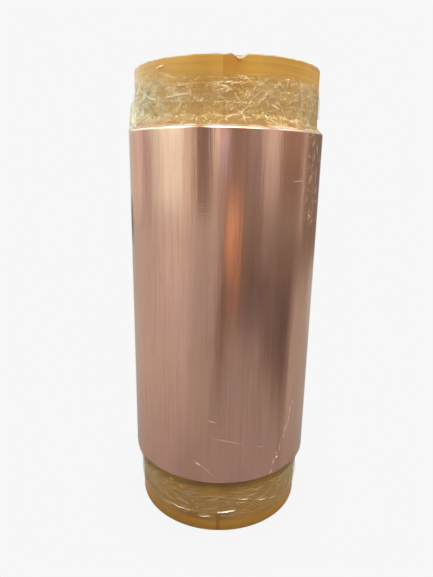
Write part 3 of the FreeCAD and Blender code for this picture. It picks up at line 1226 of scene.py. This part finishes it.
    def outer_layer(self) -> None:
        """The last layer: its tail lies free along a line on the right, and it holds most creases."""
        start = self.tail_turn
        turn = np.linspace(start - FULL_TURN + 0.8, start + 7.0, self.columns)[None, :]
        high = self.edge_high - 2.0 + 2.6 * hump(turn, -70.0, 60.0)
        high = high + 0.8 * ripple(53, turn, 0.0, (2, 13), LAYER_WAVES, 9)
        low = self.edge_low + 2.0 + 0.8 * ripple(59, turn, 0.0, (2, 13), LAYER_WAVES, 9)
        height = self.heights(turn, low, high, 74, 40)
        lines = self.outer_creases()
        out, milk = lines.pressed(turn, height)
        loose = self.on_core(height)
        radius = self.outer_radius(turn, height) + out * self.slack(turn, height)
        tail = np.exp(-(((turn - start - 6.6) / 0.35) ** 2))
        edge = np.minimum(height - low, high - height)
        # Painted sheen: lighter grey-olive milk on the sides of the roll, in the haze and in its tint.
        olive = self.painted_side_sheen(turn, height)
        head = eased((height - self.foil_high) / 2.0) * (1.0 - eased((height - 247.0) / 11.0))
        veil = (0.02 + 0.06 * head) * loose
        # The haze holds painted light too: the shoulder highlight and the side sheen.
        haze = veil + milk + self.painted_shoulder_highlight(turn, height) + 0.12 * tail + olive
        side_sheen = np.clip(3.0 * olive, 0.0, 1.0)
        marks = {"haze": haze + 0.06 * np.exp(-((edge / 0.5) ** 2)), "loose": loose, "side_sheen": side_sheen}
        sheet = Swept(on_cylinder(radius, turn, height), Ends.SHEET, marks)

        def skin(turn: np.ndarray, height: np.ndarray) -> np.ndarray:
            """Radius of the creased layer."""
            return self.outer_radius(turn, height) + lines.pressed(turn, height)[0] * self.slack(turn, height)

        folds = [part.swept(skin, self.on_core) for part in (self.scattered_folds(), self.standing_folds())]
        piece = make_mesh("film_outer_layer", sheet, *folds)
        finish_piece(piece, self.finish, ["film_outer_wrap"])

    def band(self, name: str, node: str, low: float, high: float, seed: int) -> None:
        """A band of film pulled tight round the core over the layers' ends, gathered into long folds."""
        turn = np.linspace(-HALF_TURN, HALF_TURN, 541)[None, :-1]
        sway = 0.8 * ripple(seed, turn, 0.0, (1, 5), LAYER_WAVES, 6)
        rise = np.linspace(0.0, 1.0, 30)[:, None]
        height = low + sway + rise * (high - low)
        folds = ripple(seed + 1, turn, height, (1, 6), (2.5, 7.0), 12)
        lines = Creases(self.core_radius)
        pulled = Zone(
            seed + 2, 70, ALL_ROUND, (low, high), (2.0, -3.0, 9.0), 5.0, (5, 22),
            (0.4, 0.7), (0.02, 0.14), (0.1, 0.3)
        )
        lines.scatter(pulled)
        out, milk = lines.pressed(turn, height)
        radius = self.core_radius + 1.0 + 0.12 * folds.clip(0.0, 2.0) + out
        edge = np.minimum(rise, 1.0 - rise) * (high - low)
        haze = milk + 0.03 * np.exp(-((edge / 0.4) ** 2))
        marks = {"haze": haze, "loose": np.full(haze.shape, 0.8), "side_sheen": 0.0 * haze}
        piece = make_mesh(name, Swept(on_cylinder(radius, turn, height), Ends.LOOP, marks))
        finish_piece(piece, self.finish, [node])


# ---------------------------------------------------------------- studio


@dataclass(frozen=True)
class Panel:
    """A soft patch of the studio's surroundings, as the gloss sees it: its sides and its level.

    Sides are azimuths in degrees from the front, low and high are elevations in degrees.
    """

    left: float
    right: float
    low: float
    high: float
    level: float
    tint: Colour = (1.0, 1.0, 1.0)
    side_edge: float = 2.0
    end_edge: float = 3.0

    def colour(self) -> Colour:
        """The tint at its level."""
        return tuple(self.level * part for part in self.tint)


@dataclass
class Studio:
    """Pale floor, soft lights, surroundings and camera."""

    camera_back: float = 290.8
    camera_height: float = 217.4
    camera_dip: float = 14.69
    camera_roll: float = 1.22
    focal: float = 28.68
    sideways_shift: float = -0.0104
    floor_half: float = 3.0
    pale: float = 0.930
    soft_level: float = 0.26
    key_power: float = 4.95
    ring_radius: float = 0.55
    ring_height: float = 0.78
    film_passes: int = 40

    def build(self) -> None:
        """Builds the whole studio."""
        self.camera()
        self.floor()
        self.lights()
        self.surroundings()
        bpy.context.scene.view_settings.view_transform = "Standard"
        bpy.context.scene.view_settings.look = "None"
        bpy.context.scene.cycles.transparent_max_bounces = self.film_passes

    def camera(self) -> None:
        """A camera a little above the roll's middle, close in front of it."""
        data = bpy.data.cameras.new("camera")
        data.lens = self.focal
        data.shift_x = self.sideways_shift
        data.clip_start = 0.01
        camera = bpy.data.objects.new("camera", data)
        camera.location = Vector((0.0, -self.camera_back, self.camera_height)) * METRES_PER_MM
        turned = Matrix.Rotation(math.radians(90.0 - self.camera_dip), 4, "X")
        camera.rotation_euler = (turned @ Matrix.Rotation(math.radians(self.camera_roll), 4, "Z")).to_euler()
        bpy.context.scene.collection.objects.link(camera)
        bpy.context.scene.camera = camera

    def floor(self) -> None:
        """A plain pale floor with a faint shade where the roll stands."""
        half = self.floor_half
        mesh = bpy.data.meshes.new("floor")
        corners = [(-half, -half, 0.0), (half, -half, 0.0), (half, half, 0.0), (-half, half, 0.0)]
        mesh.from_pydata(corners, [], [(0, 1, 2, 3)])
        floor = bpy.data.objects.new("floor", mesh)
        floor.location.z = -0.0003
        bpy.context.scene.collection.objects.link(floor)
        material, graph = new_material("pale_floor")
        contact = graph.node("ShaderNodeAmbientOcclusion", {"samples": 8}, {"Distance": 0.035}, "AO")
        shade = self.pale * (0.96 + 0.04 * contact)
        tone = graph.node("ShaderNodeCombineColor", None, {0: shade, 1: shade, 2: shade})
        seen = graph.node("ShaderNodeEmission", None, {"Color": tone})
        plain = graph.node("ShaderNodeBsdfDiffuse", None, {"Color": (0.11, 0.10, 0.09)})
        ray = graph.node("ShaderNodeLightPath", output="Is Camera Ray")
        graph.surface(graph.node("ShaderNodeMixShader", None, {0: ray, 1: plain, 2: seen}))
        mesh.materials.append(material)
        floor.visible_glossy = False

    def lights(self) -> None:
        """A ring of large soft lights above the roll, the two in front a little stronger."""
        ring = (
            ("key", -42.0, 1.0),
            ("fill", 50.0, 1.1),
            ("left", -115.0, 0.56),
            ("right", 120.0, 0.56),
            ("back", 180.0, 0.7),
        )
        for name, azimuth, share in ring:
            across = self.ring_radius * math.sin(math.radians(azimuth))
            forward = -self.ring_radius * math.cos(math.radians(azimuth))
            self.area(name, (across, forward, self.ring_height), 0.5, self.key_power * share)

    def area(self, name: str, place: tuple[float, float, float], size: float, power: float) -> None:
        """One square light that looks at the middle of the roll."""
        data = bpy.data.lights.new(name, "AREA")
        data.size = size
        data.energy = power
        light = bpy.data.objects.new(name, data)
        light.location = place
        light.rotation_euler = (Vector((0.0, 0.0, 0.14)) - Vector(place)).to_track_quat("-Z", "Y").to_euler()
        light.visible_glossy = light.visible_camera = False
        bpy.context.scene.collection.objects.link(light)

    def panels(self) -> list[Panel]:
        """Walls, table, windows and lamps round the roll, back to front."""
        warm: Colour = (1.0, 0.94, 0.84)
        dusk: Colour = (1.0, 0.950, 0.910)
        rose: Colour = (1.0, 0.90, 0.88)
        brown: Colour = (1.0, 0.82, 0.72)
        rust: Colour = (1.0, 0.74, 0.60)
        plum: Colour = (1.0, 0.84, 0.88)
        flame: Colour = (1.0, 0.58, 0.36)
        cream: Colour = (0.89, 0.98, 0.92)
        violet: Colour = (0.90, 0.90, 1.30)
        lamp: Colour = (1.0, 14 / 15, 7 / 9)
        return [
            Panel(-180, -2, -90, -4, 0.54, dusk, 3, 4),
            Panel(-80, -38, -16, -5, 0.64, dusk, 10, 5),
            Panel(-34, -4, -90, -6, 0.42, dusk, 10, 6),
            Panel(-20, 0, -90, -16, 0.38, dusk, 8, 6),
            Panel(-180, 1, -90, -30, 0.385, rose, 3, 10),
            Panel(-50, 1, -90, -35, 0.29, rose, 12, 6),
            Panel(-1, 180, -90, -4, 0.20, brown, 4, 4),
            Panel(2, 14, -24, -8, 0.18, rust, 4, 4),
            Panel(20, 62, -23, -11, 0.13, plum, 6, 4),
            Panel(44, 64, -11, -4, 0.28, rose, 5, 4),
            Panel(10, 76, -31, -20, 0.33, dusk, 6, 4),
            Panel(56, 76, -26, -17, 0.165, plum, 5, 4),
            Panel(66, 98, -21, -13, 0.145, plum, 5, 3),
            Panel(78, 98, -28, -15, 0.12, plum, 4, 3),
            Panel(102, 180, -90, -12, 0.43, dusk, 5, 6),
            Panel(140, 180, -22, -10, 0.54, dusk, 8, 6),
            Panel(130, 180, -90, -20, 0.43, dusk, 8, 6),
            Panel(-10, 96, -90, -28, 0.35, dusk, 6, 6),
            Panel(-10, 180, -90, -33, 0.35, rose, 6, 6),
            Panel(-180, 180, -90, -41, 0.13, brown, 1, 4),
            Panel(-180, -125, -6, 90, 0.68, warm, 3, 2),
            Panel(-125, -112, -5, 90, 0.80, rose, 2, 2),
            Panel(-112, -94, -5, 90, 0.50, rose, 2, 2),
            Panel(-94, -80, -5, 90, 0.78, cream, 3, 2),
            Panel(-80, -47, -5, 90, 1.04, cream, 3, 2),
            Panel(-47, -34, -5, 90, 0.72, warm, 2, 2),
            Panel(-34, -14, -5, 90, 0.19, brown, 1.5, 2),
            Panel(-34, -14, 0, 90, 0.225, brown, 1.5, 2),
            Panel(-14, -5, -6, 90, 0.50, warm, 1.5, 3),
            Panel(-14, -5, 1, 90, 0.94, warm, 1.5, 2),
            Panel(-5, 5, -6, 90, 0.35, brown, 1.5, 3),
            Panel(-5, 5, 2, 90, 0.62, brown, 1.5, 2),
            Panel(5, 28, -4, 90, 0.245, brown, 2, 2),
            Panel(18, 28, -8, 90, 0.275, brown, 2, 2),
            Panel(28, 45, -4, 90, 0.26, rose, 3, 3),
            Panel(45, 66, -4, 90, 0.54, warm, 3, 3),
            Panel(66, 100, -4, 90, 0.25, rust, 4, 3),
            Panel(66, 100, -8, -4, 0.26, warm, 4, 2),
            Panel(28, 45, 1.5, 90, 0.36, rose, 3, 1.5),
            Panel(45, 66, 1.5, 90, 0.72, warm, 3, 1.5),
            Panel(66, 100, 1.5, 90, 0.34, rust, 4, 1.5),
            Panel(101, 108, -8, 90, 0.52, warm, 1, 2),
            Panel(109, 180, -10, 90, 0.22, brown, 2, 3),
            Panel(5, 18, -12, -4, 0.78, flame, 4, 3),
            Panel(14, 24, -17, -9, 0.38, flame, 4, 5),
            Panel(-4, 4, 1, 4, 0.80, violet, 3, 1.5),
            Panel(-180, -166, -5, 90, 0.22, plum, 3, 2),
            Panel(-164, -148, -8.5, -4, 0.13, plum, 3, 1.5),
            Panel(-150, -50, 7, 24, 2.4, cream, 10, 2.5),
            Panel(40, 150, 10, 24, 1.0, warm, 10, 2.5),
            Panel(-80, -45, 24, 48, 9.0, lamp, 7, 7),
            Panel(-22, 18, 26, 56, 9.0, lamp, 7, 7),
            Panel(20, 46, 24, 44, 9.0, lamp, 7, 7),
            Panel(66, 104, 26, 54, 9.0, lamp, 7, 7),
        ]

    def surroundings(self) -> None:
        """Plain and pale to the eye and to matt surfaces; soft upright panels to glossy ones."""
        world = bpy.data.worlds.new("studio")
        bpy.context.scene.world = world
        graph = Graph(world)
        direction = graph.node("ShaderNodeTexCoord", output="Generated")
        x, y, z = (graph.node("ShaderNodeSeparateXYZ", None, {0: direction}, i) for i in range(3))
        rise = z.math("ARCSINE") * math.degrees(1)
        lean = (rise + 4).math("MINIMUM", 0.0) * 0.35
        azimuth = graph.math("ARCTAN2", x, -y) * math.degrees(1) - lean
        room = graph.mix(rise.step(-5.0, 40.0), (0.30, 0.27, 0.25), (0.85, 0.85, 0.84))
        for panel in self.panels():
            mask = azimuth.between(panel.left, panel.right, panel.side_edge)
            mask = mask * rise.between(panel.low, panel.high, panel.end_edge)
            room = graph.mix(mask, room, panel.colour())
        soft = tuple(self.soft_level * part for part in (1.0, 0.99, 0.97))
        glossy = graph.node("ShaderNodeLightPath", output="Is Glossy Ray")
        eye = graph.node("ShaderNodeLightPath", output="Is Camera Ray")
        tone = graph.mix(glossy, soft, room)
        tone = graph.mix(eye, tone, (self.pale, self.pale, self.pale))
        graph.surface(graph.node("ShaderNodeBackground", None, {"Color": tone}))


# ---------------------------------------------------------------- the whole roll


def main() -> None:
    """Builds the studio and the roll, from the inside out."""
    logging.basicConfig(level=logging.INFO, format="%(name)s: %(message)s")
    Studio().build()
    CoreTube().build()
    FoilWinding().build()
    FilmWrap().build()


if __name__ == "__main__":
    main()
